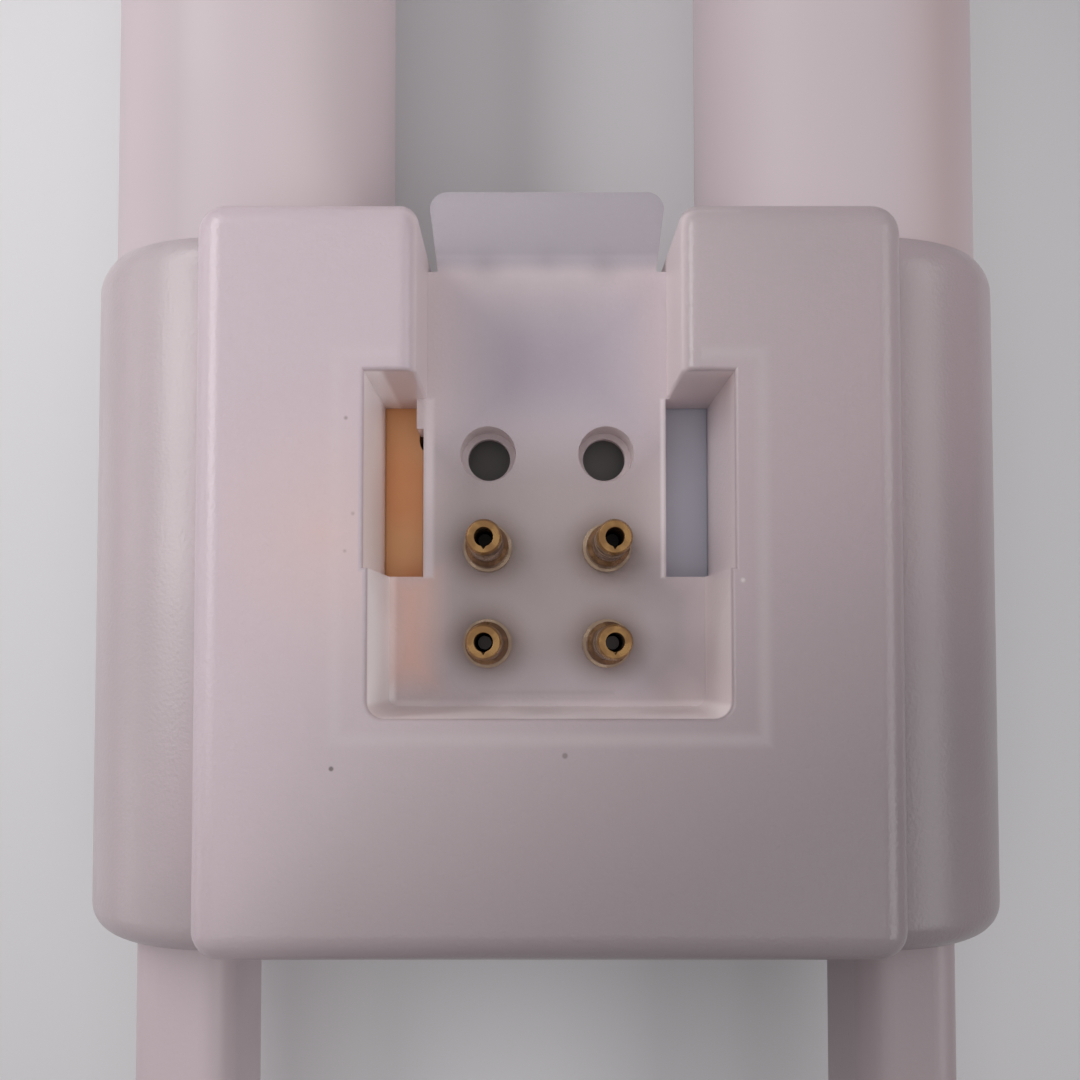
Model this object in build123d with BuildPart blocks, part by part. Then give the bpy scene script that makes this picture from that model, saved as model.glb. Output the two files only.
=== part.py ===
from build123d import *
import math
import os

os.makedirs("parts", exist_ok=True)

# A double-D lamp with a four-pin cap, lying on its light side.
# +X is to the right and +Y up the stems as the cap is seen from the pins, +Z is the way the pins point.
# The origin is under the middle of the lamp, on the surface that it lies on.

# Loops: two round opal tubes, each bent to a D whose straight stem stands beside the middle
TUBE_R = 10.2
TUBE_WALL = 1.1
STEM_X = 21.7
BOW_REACH = 92.0
BOW_R = 117.0
TURN_R = 18.0
TUBE_LOW_END_Y = -68.0
TUBE_IN_CAP = 10.4
LAP_DEPTH = 0.5
RAIL_REACH = 1.3
RAIL_THICK = 1.0
RAIL_ABOVE_AXIS = 1.0

# Cap: two round sleeves with a raised block between them, split at the height of the tube axis
SLEEVE_WALL = 1.0
SEAT_GAP = 0.1
SLEEVE_TOP_Y = 23.6
SLEEVE_LOW_Y = -24.0
SLEEVE_LOW_ROUND = 2.2
SLEEVE_LIP_LENGTH = 2.0
SLEEVE_LIP_DROP = 0.75
BLOCK_HALF_X = 21.65
BLOCK_TOP_Y = 23.35
BLOCK_LOW_Y = -22.75
BLOCK_RISE = 18.0
BLOCK_CORNER_R = 1.8
BLOCK_EDGE_R = 1.9
CAP_WALL = 1.6
FRONT_WALL = 1.4
FRONT_EDGE_R = 1.4
STOP_WEB = 1.2
STOP_REACH = 1.4
STOP_ARC = 75.0
LIP_RISE = 1.5
LIP_ROOT = 3.0
LIP_THICK = 0.9
LIP_GAP = 0.06

# Plug pocket, its channel to the top end and the tongue
POCKET_DEPTH = 8.1
POCKET_FLOOR = 3.0
POCKET_HALF_X = 10.95
POCKET_LOW_Y = -8.2
POCKET_TOP_Y = 12.8
POCKET_DRAFT = 3.0
POCKET_CORNER_R = 1.1
POCKET_WALL = 1.5
RIM_EDGE_R = 0.25
SHOULDER_HALF_X = 11.2
SHOULDER_LOW_Y = 0.85
RIGHT_SLOT_INNER_X = 7.95
LEFT_SLOT_INNER_X = 8.28
SLOT_LUG_X = 0.46
SLOT_LUG_Y = 2.0
CHANNEL_HALF_X = 8.05
CHANNEL_WALL = 2.1
BAY_Y = 21.45
CHANNEL_MOUTH_R = 1.1
TONGUE_END_Y = 26.9
TONGUE_ROOT_HALF_X = 7.25
TONGUE_END_HALF_X = 8.05
TONGUE_THICK = 1.5
TONGUE_CORNER_R = 1.15
TONGUE_RIB = 0.9
TONGUE_RIB_X = 4.0
TONGUE_RIB_DROP = 4.0

# Contact pins on their standard pattern, and the two spare holes above them
PIN_PITCH_X = 7.92
PIN_PITCH_Y = 6.35
PIN_CENTRE_Y = -0.43
PIN_R = 1.1
PIN_TIP_R = 0.97
PIN_BORE_R = 0.58
PIN_RISE = 7.7
PIN_TIP_CHAMFER = 0.3
PIN_NECK_R = 1.4
PIN_NECK_RISE = 2.2
PIN_COLLAR_R = 1.62
PIN_COLLAR_RISE = 0.7
PIN_FLANGE_R = 2.45
PIN_FLANGE_THICK = 0.7
PIN_TAIL = 2.4
PIN_NICK_HALF = 0.5
PIN_NICK_R = 0.78
PIN_NICK_DEPTH = 0.8
SPARE_ROWS_UP = 1.5
SPARE_MOUTH_R = 1.87
SPARE_HOLE_R = 1.45
SPARE_MOUTH_DEPTH = 2.4

# Struts: narrow box legs that close each loop, and the boots that join them to the tubes
STRUT_WIDTH = 7.1
STRUT_HEIGHT = 11.6
STRUT_X = 25.65
STRUT_DROP = 0.5
STRUT_WALL = 1.2
STRUT_EDGE_R = 2.2
STRUT_IN_CAP = 4.4
STRUT_BEAD = 0.5
STRUT_BEAD_WIDTH = 1.0
STRUT_IN_BOOT = 5.0
BOOT_SOCKET = 8.0
BOOT_TAPER = 8.0
BOOT_WALL = 1.0
BOOT_NECK = 6.0
BOOT_PASSAGE_R = 2.0

# Driver board and what stands on it
BOARD_THICK = 1.2
BOARD_UNDER_Z = 7.4
BOARD_HALF_X = 17.6
BOARD_LOW_Y = -19.6
BOARD_TOP_Y = 11.0
BOARD_TAIL_HALF_X = 9.6
BOARD_TAIL_Y = 19.2
BOARD_POST_R = 1.6
BOARD_POST_X = 14.6
BOARD_POST_LOW_Y = -17.6
BOARD_POST_TOP_Y = 8.9
BOARD_PEG_R = 0.8
BOARD_PEG_STAND = 0.6
PART_GAP = 0.2
TALL_PART_OUTER_X = 11.4
TALL_PART_UNDER_WALL = 0.8
TALL_PART_LOW_Y = -6.8
BOX_CAP_INNER_X = 7.5
FILM_CAP_INNER_X = 8.4
FILM_CAP_ROUND = 0.9
FILM_CAP_TOP_ROUND = 0.3
FILM_CAP_GROOVE_Y = 10.7
FILM_CAP_GROOVE_HALF_WIDTH = 0.45
FILM_CAP_GROOVE_HALF_LENGTH = 0.9
BOX_CAP_ROUND = 0.3
CAN_R = 4.0
CAN_LENGTH = 13.0
CAN_Y = -14.3
CAN_X = 8.6
CAN_ROUND = 0.5
CAN_GROOVE = 0.35
CAN_GROOVE_IN = 1.5
CORE_WIDTH = 14.0
CORE_LENGTH = 11.2
CORE_HEIGHT = 8.0
CORE_PLATE = 1.6
CORE_CENTRE_Y = 12.6
CORE_COIL_R = 4.6
CORE_LEG_R = 2.3
CHIP_SIZE = (4.0, 5.0, 1.5)
CHIP_Y = 2.3
CHIP_CHAMFER = 0.2
BRIDGE_SIZE = (4.4, 6.4, 2.4)
BRIDGE_Y = -5.6
BRIDGE_CHAMFER = 0.3
RESISTOR_R = 1.5
RESISTOR_LENGTH = 8.0
RESISTOR_X = 15.9
RESISTOR_Y = -2.0
RESISTOR_ROUND = 0.5
LEAD_R = 0.35
LEAD_BEND_R = 0.6
LEAD_REACH = 1.6
PIN_LEAD_R = 0.42
PIN_LEAD_BELOW_TIP = 2.6

# Light boards in the tubes, and the leads that feed them
STRIP_THICK = 1.0
STRIP_TAIL_IN_CAP = 7.0
STRIP_EDGE_GAP = 0.15
LED_SIZE = (3.5, 2.8, 0.7)
LED_COUNT = 26
FEED_R = 0.45
FEED_BEND_R = 1.1
FEED_Y = (7.4, 9.4)
FEED_X = 16.4
FEED_REACH = 4.6
FEED_RISE = 2.2

# Levels and places that follow from the sizes above
SEAT_R = TUBE_R + SEAT_GAP
SLEEVE_R = SEAT_R + SLEEVE_WALL
AXIS_Z = SLEEVE_R
FACE_Z = AXIS_Z + BLOCK_RISE
FLOOR_Z = FACE_Z - POCKET_DEPTH
UNDER_FLOOR_Z = FLOOR_Z - POCKET_FLOOR
BOARD_TOP_Z = BOARD_UNDER_Z + BOARD_THICK
TUBE_TOP_END_Y = SLEEVE_TOP_Y - TUBE_IN_CAP
STRUT_Z = AXIS_Z - STRUT_DROP
STRIP_UNDER_Z = AXIS_Z + RAIL_ABOVE_AXIS + RAIL_THICK
TUBE_INNER_R = TUBE_R - TUBE_WALL
PIN_PLACES = [
    (x * PIN_PITCH_X / 2, PIN_CENTRE_Y + y * PIN_PITCH_Y / 2)
    for y in (1, -1)
    for x in (-1, 1)
]
SPARE_PLACES = [(x * PIN_PITCH_X / 2, PIN_CENTRE_Y + SPARE_ROWS_UP * PIN_PITCH_Y) for x in (-1, 1)]

# The loop's centre line: the bow's circle is centred on the far side of the middle
BOW_CENTRE_X = BOW_R - BOW_REACH
TURN_CENTRE_X = -STEM_X - TURN_R
TURN_CENTRE_Y = math.sqrt((BOW_R - TURN_R) ** 2 - (BOW_CENTRE_X - TURN_CENTRE_X) ** 2)
TURN_DEG = math.degrees(math.atan2(TURN_CENTRE_Y, TURN_CENTRE_X - BOW_CENTRE_X))


def write(part: Part, name: str) -> None:
    """Labels a finished piece and writes its STEP file."""
    part.label = name
    export_step(part, f"parts/{name}.step")


def loop_line(top_y: float, low_y: float) -> Wire:
    """The left loop's centre line on the ground plane, from its top end round to its low end."""
    with BuildLine() as line:
        Line((-STEM_X, top_y), (-STEM_X, TURN_CENTRE_Y))
        CenterArc((TURN_CENTRE_X, TURN_CENTRE_Y), TURN_R, 0, TURN_DEG)
        CenterArc((BOW_CENTRE_X, 0), BOW_R, TURN_DEG, 2 * (180 - TURN_DEG))
        CenterArc((TURN_CENTRE_X, -TURN_CENTRE_Y), TURN_R, -TURN_DEG, TURN_DEG)
        Line((-STEM_X, -TURN_CENTRE_Y), (-STEM_X, low_y))
    return line.wire()


def section_plane(y: float) -> Plane:
    """A plane across the left stem at y, whose local x is +X and local y is +Z."""
    return Plane(origin=(-STEM_X, y, AXIS_Z), x_dir=(1, 0, 0), z_dir=(0, -1, 0))


tube_line = loop_line(TUBE_TOP_END_Y, TUBE_LOW_END_Y).moved(Location((0, 0, AXIS_Z)))
lap_x = (TUBE_R + TUBE_INNER_R) / 2
rail_inner_x = math.sqrt(TUBE_INNER_R**2 - (RAIL_ABOVE_AXIS + RAIL_THICK) ** 2) - RAIL_REACH

# Rear half of the tube: half a ring with a lapped edge and two rails that hold the light board
with BuildPart() as left_tube_rear:
    with BuildSketch(section_plane(TUBE_TOP_END_Y)):
        Circle(TUBE_R)
        Rectangle(2 * TUBE_R, TUBE_R, align=(Align.CENTER, Align.MAX), mode=Mode.SUBTRACT)
        Rectangle(2 * lap_x, LAP_DEPTH, align=(Align.CENTER, Align.MIN), mode=Mode.SUBTRACT)
        Circle(TUBE_INNER_R, mode=Mode.SUBTRACT)
        for side in (-1, 1):
            with Locations((side * (lap_x + rail_inner_x) / 2, RAIL_ABOVE_AXIS)):
                Rectangle(lap_x - rail_inner_x, RAIL_THICK, align=(Align.CENTER, Align.MIN))
    sweep(path=tube_line)
write(left_tube_rear.part, "left_tube_rear")

# Light-side half of the tube, whose inner edge fits the rear half's lap
with BuildPart() as left_tube_front:
    with BuildSketch(section_plane(TUBE_TOP_END_Y)):
        Circle(TUBE_R)
        Rectangle(2 * TUBE_R, TUBE_R, align=(Align.CENTER, Align.MIN), mode=Mode.SUBTRACT)
        Rectangle(2 * lap_x, LAP_DEPTH, align=(Align.CENTER, Align.MIN))
        Circle(TUBE_INNER_R, mode=Mode.SUBTRACT)
    sweep(path=tube_line)
write(left_tube_front.part, "left_tube_front")

# Light board: a strip that lies on the rails and follows the loop, with its emitters on the light side
strip_top_y = TUBE_TOP_END_Y - STRIP_TAIL_IN_CAP
strip_line = loop_line(strip_top_y, TUBE_LOW_END_Y).moved(Location((0, 0, AXIS_Z)))
strip_rise = STRIP_UNDER_Z - AXIS_Z
strip_half = math.sqrt(TUBE_INNER_R**2 - (strip_rise + STRIP_THICK) ** 2) - STRIP_EDGE_GAP
with BuildPart() as left_light_board:
    with BuildSketch(section_plane(strip_top_y)):
        with Locations((0, strip_rise)):
            Rectangle(2 * strip_half, STRIP_THICK, align=(Align.CENTER, Align.MIN))
    sweep(path=strip_line)
write(left_light_board.part, "left_light_board")

emitter_line = loop_line(TUBE_TOP_END_Y, TUBE_LOW_END_Y)
with BuildPart() as left_emitters:
    for number in range(LED_COUNT):
        share = (number + 0.5) / LED_COUNT
        spot = emitter_line.position_at(share)
        way = emitter_line.tangent_at(share)
        turn = math.degrees(math.atan2(way.Y, way.X))
        with Locations(Location((spot.X, spot.Y, STRIP_UNDER_Z), (0, 0, turn))):
            Box(*LED_SIZE, align=(Align.CENTER, Align.CENTER, Align.MAX))
write(left_emitters.part, "left_emitters")


def strut_section(grow: float) -> None:
    """Adds the strut's rounded section, grown all round, to the sketch that is open."""
    RectangleRounded(STRUT_WIDTH + 2 * grow, STRUT_HEIGHT + 2 * grow, STRUT_EDGE_R + grow)


def strut_plane(y: float, side: int = -1) -> Plane:
    """A plane across the left or the right strut at y, which faces +Y."""
    return Plane(origin=(side * STRUT_X, y, STRUT_Z), x_dir=(-1, 0, 0), z_dir=(0, 1, 0))


# Strut: a hollow leg with a bead that locks it behind the cap's low wall
strut_top_y = SLEEVE_LOW_Y + STRUT_IN_CAP
strut_bead_y = SLEEVE_LOW_Y + CAP_WALL
boot_neck_y = TUBE_LOW_END_Y + BOOT_TAPER
boot_top_y = boot_neck_y + BOOT_NECK
strut_low_y = boot_top_y - STRUT_IN_BOOT
with BuildPart() as left_strut:
    with BuildSketch(strut_plane(strut_low_y)):
        strut_section(0)
    extrude(amount=strut_top_y - strut_low_y)
    with BuildSketch(strut_plane(strut_bead_y)):
        strut_section(STRUT_BEAD)
    extrude(amount=STRUT_BEAD_WIDTH)
    with BuildSketch(strut_plane(strut_low_y)):
        strut_section(-STRUT_WALL)
    extrude(amount=strut_top_y - strut_low_y, mode=Mode.SUBTRACT)
write(left_strut.part, "left_strut")

# Boot: takes the tube's low end in a round socket and narrows to the strut
with BuildPart() as left_boot:
    boot_low_y = TUBE_LOW_END_Y - BOOT_SOCKET
    boot_low = Plane(origin=(-STEM_X, boot_low_y, AXIS_Z), x_dir=(-1, 0, 0), z_dir=(0, 1, 0))
    boot_waist = boot_low.offset(BOOT_SOCKET + BOOT_WALL)
    with BuildSketch(boot_low):
        Circle(SLEEVE_R)
    extrude(amount=BOOT_SOCKET + BOOT_WALL)
    with BuildSketch(boot_waist):
        Circle(SLEEVE_R)
    with BuildSketch(strut_plane(boot_neck_y)):
        strut_section(BOOT_WALL)
    loft()
    with BuildSketch(strut_plane(boot_neck_y)):
        strut_section(BOOT_WALL)
    extrude(amount=BOOT_NECK)
    with BuildSketch(boot_low):
        Circle(SEAT_R)
    extrude(amount=BOOT_SOCKET, mode=Mode.SUBTRACT)
    with BuildSketch(strut_plane(strut_low_y)):
        strut_section(SEAT_GAP / 2)
    extrude(amount=STRUT_IN_BOOT, mode=Mode.SUBTRACT)
    with BuildSketch(strut_plane(TUBE_LOW_END_Y)):
        Circle(BOOT_PASSAGE_R)
    extrude(amount=strut_low_y - TUBE_LOW_END_Y, mode=Mode.SUBTRACT)
write(left_boot.part, "left_boot")


def sleeve_outline(side: int) -> Wire:
    """Half a sleeve's outline in the parting plane, from its axis outwards, with both ends rounded."""
    axis_x = side * STEM_X
    edge_x = axis_x + side * SLEEVE_R
    lip_x = edge_x - side * SLEEVE_LIP_DROP
    lip_y = SLEEVE_TOP_Y - SLEEVE_LIP_LENGTH
    round_centre = (edge_x - side * SLEEVE_LOW_ROUND, SLEEVE_LOW_Y + SLEEVE_LOW_ROUND)
    with BuildLine() as outline:
        Line((axis_x, SLEEVE_LOW_Y), (round_centre[0], SLEEVE_LOW_Y))
        CenterArc(round_centre, SLEEVE_LOW_ROUND, -90, side * 90)
        Line((edge_x, round_centre[1]), (edge_x, lip_y))
        TangentArc((edge_x, lip_y), (lip_x, SLEEVE_TOP_Y), tangent=(0, 1))
        Polyline((lip_x, SLEEVE_TOP_Y), (axis_x, SLEEVE_TOP_Y), (axis_x, SLEEVE_LOW_Y))
    return outline.wire()


def half_turn(side: int, rear: bool, angle: float = 180) -> dict:
    """The axis and angle that turn a sleeve's outline over the rear or under the light side."""
    way = -side if rear else side
    return {"axis": Axis((side * STEM_X, 0, AXIS_Z), (0, way, 0)), "revolution_arc": angle}


def stop_align(side: int) -> Align:
    """Which edge of a stop web's outline stands on the inner side, so that the web grows outwards."""
    return Align.MIN if side > 0 else Align.MAX


# The block's outside, with its edges rounded
block_middle_y = (BLOCK_TOP_Y + BLOCK_LOW_Y) / 2
block_inner_low_y = BLOCK_LOW_Y + CAP_WALL
block_inner_top_y = BLOCK_TOP_Y - CAP_WALL
with BuildPart() as block:
    with BuildSketch(Plane.XY.offset(AXIS_Z)):
        with Locations((0, block_middle_y)):
            RectangleRounded(2 * BLOCK_HALF_X, BLOCK_TOP_Y - BLOCK_LOW_Y, BLOCK_CORNER_R)
    extrude(amount=BLOCK_RISE)
    fillet(block.edges().group_by(Axis.Z)[-1], BLOCK_EDGE_R)

# The light side's flat middle, between the axes of the sleeves
with BuildPart() as slab:
    with BuildSketch(Plane.XY):
        with Locations((0, block_middle_y)):
            Rectangle(2 * STEM_X, BLOCK_TOP_Y - BLOCK_LOW_Y)
    extrude(amount=AXIS_Z)
    fillet(slab.edges().group_by(Axis.Z)[0].filter_by(Axis.X), FRONT_EDGE_R)

# Rear moulding of the cap: sleeves, hollow block, plug pocket, channel and tongue in one piece
with BuildPart() as cap_rear:
    for side in (-1, 1):
        with BuildSketch(Plane.XY.offset(AXIS_Z)):
            make_face(sleeve_outline(side).edges())
        revolve(**half_turn(side, rear=True))
    add(block.part)

    # Inside of the shell
    for side in (-1, 1):
        with BuildSketch(Plane.XY.offset(AXIS_Z)):
            with Locations((side * (STEM_X + SEAT_R / 2), SLEEVE_LOW_Y + CAP_WALL)):
                Rectangle(SEAT_R, SLEEVE_TOP_Y - SLEEVE_LOW_Y, align=(Align.CENTER, Align.MIN))
        revolve(**half_turn(side, rear=True), mode=Mode.SUBTRACT)
    with BuildSketch(Plane.XY.offset(AXIS_Z)):
        with Locations((0, block_middle_y)):
            Rectangle(2 * (BLOCK_HALF_X - CAP_WALL), block_inner_top_y - block_inner_low_y)
    extrude(amount=BLOCK_RISE - CAP_WALL, mode=Mode.SUBTRACT)

    # Walls of the pocket and the channel, down to the underside of the pocket's floor
    pocket_wall_top = POCKET_TOP_Y + POCKET_WALL
    with BuildSketch(Plane.XY.offset(UNDER_FLOOR_Z)):
        with Locations((0, (pocket_wall_top + POCKET_LOW_Y - POCKET_WALL) / 2)):
            Rectangle(
                2 * (SHOULDER_HALF_X + POCKET_WALL), pocket_wall_top - POCKET_LOW_Y + POCKET_WALL
            )
        with Locations((0, POCKET_TOP_Y)):
            Rectangle(
                2 * (CHANNEL_HALF_X + CHANNEL_WALL),
                BLOCK_TOP_Y - CAP_WALL / 2 - POCKET_TOP_Y,
                align=(Align.CENTER, Align.MIN),
            )
    extrude(amount=FACE_Z - CAP_WALL / 2 - UNDER_FLOOR_Z)

    # Bay below the tongue: its wall stands back from the block's end
    with BuildSketch(Plane.XY.offset(AXIS_Z)):
        with Locations((0, BAY_Y - CAP_WALL)):
            Rectangle(
                2 * (CHANNEL_HALF_X + CAP_WALL),
                BLOCK_TOP_Y - CAP_WALL / 2 - BAY_Y + CAP_WALL,
                align=(Align.CENTER, Align.MIN),
            )
    extrude(amount=UNDER_FLOOR_Z - AXIS_Z + POCKET_FLOOR / 2)
    with BuildSketch(Plane.XY.offset(AXIS_Z)):
        with Locations((0, BAY_Y)):
            Rectangle(2 * CHANNEL_HALF_X, SLEEVE_R, align=(Align.CENTER, Align.MIN))
    extrude(amount=BLOCK_RISE, mode=Mode.SUBTRACT)

    # Pocket, shoulders beside the pins, and channel, cut down to the floor
    with BuildSketch(Plane.XY.offset(FACE_Z)):
        with Locations((0, POCKET_LOW_Y)):
            RectangleRounded(
                2 * POCKET_HALF_X,
                SHOULDER_LOW_Y - POCKET_LOW_Y + 2 * POCKET_CORNER_R,
                POCKET_CORNER_R,
                align=(Align.CENTER, Align.MIN),
            )
    extrude(amount=-POCKET_DEPTH, taper=POCKET_DRAFT, mode=Mode.SUBTRACT)
    with BuildSketch(Plane.XY.offset(FLOOR_Z)):
        with Locations((0, SHOULDER_LOW_Y)):
            Rectangle(2 * SHOULDER_HALF_X, POCKET_TOP_Y - SHOULDER_LOW_Y, align=(Align.CENTER, Align.MIN))
        with Locations((0, POCKET_TOP_Y)):
            Rectangle(2 * CHANNEL_HALF_X, BLOCK_TOP_Y - POCKET_TOP_Y, align=(Align.CENTER, Align.MIN))
    extrude(amount=POCKET_DEPTH, mode=Mode.SUBTRACT)

    # Side slots through the floor, flush with the shoulder walls; a lug fills the left one's upper corner
    with BuildSketch(Plane.XY.offset(UNDER_FLOOR_Z)):
        for side, inner_x in ((-1, LEFT_SLOT_INNER_X), (1, RIGHT_SLOT_INNER_X)):
            with Locations((side * (inner_x + SHOULDER_HALF_X) / 2, SHOULDER_LOW_Y)):
                Rectangle(
                    SHOULDER_HALF_X - inner_x,
                    POCKET_TOP_Y - SHOULDER_LOW_Y,
                    align=(Align.CENTER, Align.MIN),
                )
        with Locations((-LEFT_SLOT_INNER_X, POCKET_TOP_Y)):
            Rectangle(SLOT_LUG_X, SLOT_LUG_Y, align=(Align.MAX, Align.MAX), mode=Mode.SUBTRACT)
    extrude(amount=POCKET_FLOOR, mode=Mode.SUBTRACT)

    # Tongue with its two ribs
    with BuildSketch(Plane.XY.offset(FLOOR_Z - TONGUE_THICK)):
        with BuildLine():
            Polyline(
                (-TONGUE_ROOT_HALF_X, BAY_Y - CAP_WALL / 2),
                (-TONGUE_END_HALF_X, TONGUE_END_Y),
                (TONGUE_END_HALF_X, TONGUE_END_Y),
                (TONGUE_ROOT_HALF_X, BAY_Y - CAP_WALL / 2),
                close=True,
            )
        tongue = make_face()
        fillet(tongue.vertices().group_by(Axis.Y)[-1], TONGUE_CORNER_R)
    extrude(amount=TONGUE_THICK)
    for side in (-1, 1):
        rib_plane = Plane(
            origin=(side * TONGUE_RIB_X, BAY_Y - CAP_WALL / 2, FLOOR_Z - TONGUE_THICK / 2),
            x_dir=(0, 1, 0),
            z_dir=(1, 0, 0),
        )
        with BuildSketch(rib_plane):
            with BuildLine():
                Polyline((0, 0), (TONGUE_END_Y - BAY_Y, 0), (0, -TONGUE_RIB_DROP), close=True)
            make_face()
        extrude(amount=TONGUE_RIB / 2, both=True)

    # Holes for the pins, and the two spare holes with their wider mouths
    with Locations(*[(x, y, FLOOR_Z) for x, y in PIN_PLACES]):
        Hole(PIN_NECK_R, POCKET_FLOOR)
    with Locations(*[(x, y, FLOOR_Z) for x, y in SPARE_PLACES]):
        CounterBoreHole(SPARE_HOLE_R, SPARE_MOUTH_R, SPARE_MOUTH_DEPTH, POCKET_FLOOR)

    # Webs that stop the tubes, and the holes for the struts
    for side in (-1, 1):
        with BuildSketch(Plane.XY.offset(AXIS_Z)):
            with Locations((side * (STEM_X + SEAT_R + SLEEVE_WALL / 2 - STOP_REACH), TUBE_TOP_END_Y)):
                Rectangle(STOP_REACH, STOP_WEB, align=(stop_align(side), Align.MAX))
        revolve(**half_turn(side, rear=True, angle=STOP_ARC))
        with BuildSketch(strut_plane(SLEEVE_LOW_Y, side)):
            strut_section(SEAT_GAP)
        extrude(amount=CAP_WALL, mode=Mode.SUBTRACT)

    mouth = (
        cap_rear.edges()
        .filter_by(Axis.Z)
        .filter_by_position(Axis.Y, BLOCK_TOP_Y - RIM_EDGE_R, BLOCK_TOP_Y + RIM_EDGE_R)
        .filter_by_position(Axis.X, -CHANNEL_HALF_X - RIM_EDGE_R, CHANNEL_HALF_X + RIM_EDGE_R)
    )
    fillet(mouth, CHANNEL_MOUTH_R)
    rim = [
        edge
        for edge in cap_rear.edges().group_by(Axis.Z)[-1]
        if abs(edge.center().X) < SHOULDER_HALF_X + RIM_EDGE_R
        and edge.bounding_box().max.Y < BLOCK_TOP_Y - BLOCK_EDGE_R
    ]
    fillet(rim, RIM_EDGE_R)
write(cap_rear.part, "cap_rear")

# Light-side cover of the cap: the sleeves' other halves, a flat face to lie on, and posts for the board
with BuildPart() as cap_front:
    for side in (-1, 1):
        with BuildSketch(Plane.XY.offset(AXIS_Z)):
            make_face(sleeve_outline(side).edges())
        revolve(**half_turn(side, rear=False))
    add(slab.part)
    for side in (-1, 1):
        with BuildSketch(Plane.XY.offset(AXIS_Z)):
            with Locations((side * (STEM_X + SEAT_R / 2), SLEEVE_LOW_Y + CAP_WALL)):
                Rectangle(SEAT_R, SLEEVE_TOP_Y - SLEEVE_LOW_Y, align=(Align.CENTER, Align.MIN))
        revolve(**half_turn(side, rear=False), mode=Mode.SUBTRACT)
    with BuildSketch(Plane.XY.offset(FRONT_WALL)):
        with Locations((0, block_inner_low_y)):
            Rectangle(2 * STEM_X, block_inner_top_y - block_inner_low_y, align=(Align.CENTER, Align.MIN))
    extrude(amount=AXIS_Z - FRONT_WALL, mode=Mode.SUBTRACT)

    # Ledge that the rear moulding's bay wall stands on, and a lip inside its low wall
    with BuildSketch(Plane.XY.offset(AXIS_Z - LIP_ROOT)):
        with Locations((0, BAY_Y - CAP_WALL)):
            Rectangle(
                2 * (CHANNEL_HALF_X + CAP_WALL),
                BLOCK_TOP_Y - CAP_WALL / 2 - BAY_Y + CAP_WALL,
                align=(Align.CENTER, Align.MIN),
            )
    extrude(amount=LIP_ROOT)
    lip_y = block_inner_low_y + LIP_GAP
    with BuildSketch(Plane.XY.offset(AXIS_Z - LIP_ROOT)):
        with Locations((0, lip_y)):
            Rectangle(2 * BOARD_HALF_X, LIP_THICK, align=(Align.CENTER, Align.MIN))
    extrude(amount=LIP_ROOT + LIP_RISE)
    with BuildSketch(Plane.XY.offset(AXIS_Z - LIP_ROOT)):
        with Locations((0, block_inner_low_y - CAP_WALL / 2)):
            Rectangle(2 * BOARD_HALF_X, CAP_WALL / 2 + LIP_THICK, align=(Align.CENTER, Align.MIN))
    extrude(amount=LIP_ROOT)

    # Posts whose pegs hold the driver board
    for x in (-BOARD_POST_X, BOARD_POST_X):
        for y in (BOARD_POST_LOW_Y, BOARD_POST_TOP_Y):
            with BuildSketch(Plane.XY.offset(FRONT_WALL)):
                with Locations((x, y)):
                    Circle(BOARD_POST_R)
            extrude(amount=BOARD_UNDER_Z - FRONT_WALL)
            with BuildSketch(Plane.XY.offset(BOARD_UNDER_Z)):
                with Locations((x, y)):
                    Circle(BOARD_PEG_R)
            extrude(amount=BOARD_THICK + BOARD_PEG_STAND)

    # Webs that stop the tubes, and the struts' holes
    for side in (-1, 1):
        with BuildSketch(Plane.XY.offset(AXIS_Z)):
            with Locations((side * (STEM_X + SEAT_R + SLEEVE_WALL / 2 - STOP_REACH), TUBE_TOP_END_Y)):
                Rectangle(STOP_REACH, STOP_WEB, align=(stop_align(side), Align.MAX))
        revolve(**half_turn(side, rear=False, angle=STOP_ARC))
        with BuildSketch(strut_plane(SLEEVE_LOW_Y, side)):
            strut_section(SEAT_GAP)
        extrude(amount=CAP_WALL, mode=Mode.SUBTRACT)
write(cap_front.part, "cap_front")

# Contact pins: turned brass tubes, flanged under the floor and collared above it
pin_flange_z = UNDER_FLOOR_Z - PIN_FLANGE_THICK
pin_tail_z = pin_flange_z - PIN_TAIL
pin_tip_z = FLOOR_Z + PIN_RISE
pin_outline = [
    (PIN_BORE_R, pin_tail_z),
    (PIN_R, pin_tail_z),
    (PIN_R, pin_flange_z),
    (PIN_FLANGE_R, pin_flange_z),
    (PIN_FLANGE_R, UNDER_FLOOR_Z),
    (PIN_NECK_R, UNDER_FLOOR_Z),
    (PIN_NECK_R, FLOOR_Z),
    (PIN_COLLAR_R, FLOOR_Z),
    (PIN_COLLAR_R, FLOOR_Z + PIN_COLLAR_RISE),
    (PIN_NECK_R, FLOOR_Z + PIN_COLLAR_RISE),
    (PIN_NECK_R, FLOOR_Z + PIN_NECK_RISE),
    (PIN_R, FLOOR_Z + PIN_NECK_RISE + PIN_NECK_R - PIN_R),
    (PIN_R, pin_tip_z - PIN_TIP_CHAMFER),
    (PIN_TIP_R, pin_tip_z),
    (PIN_BORE_R, pin_tip_z),
]
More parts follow.
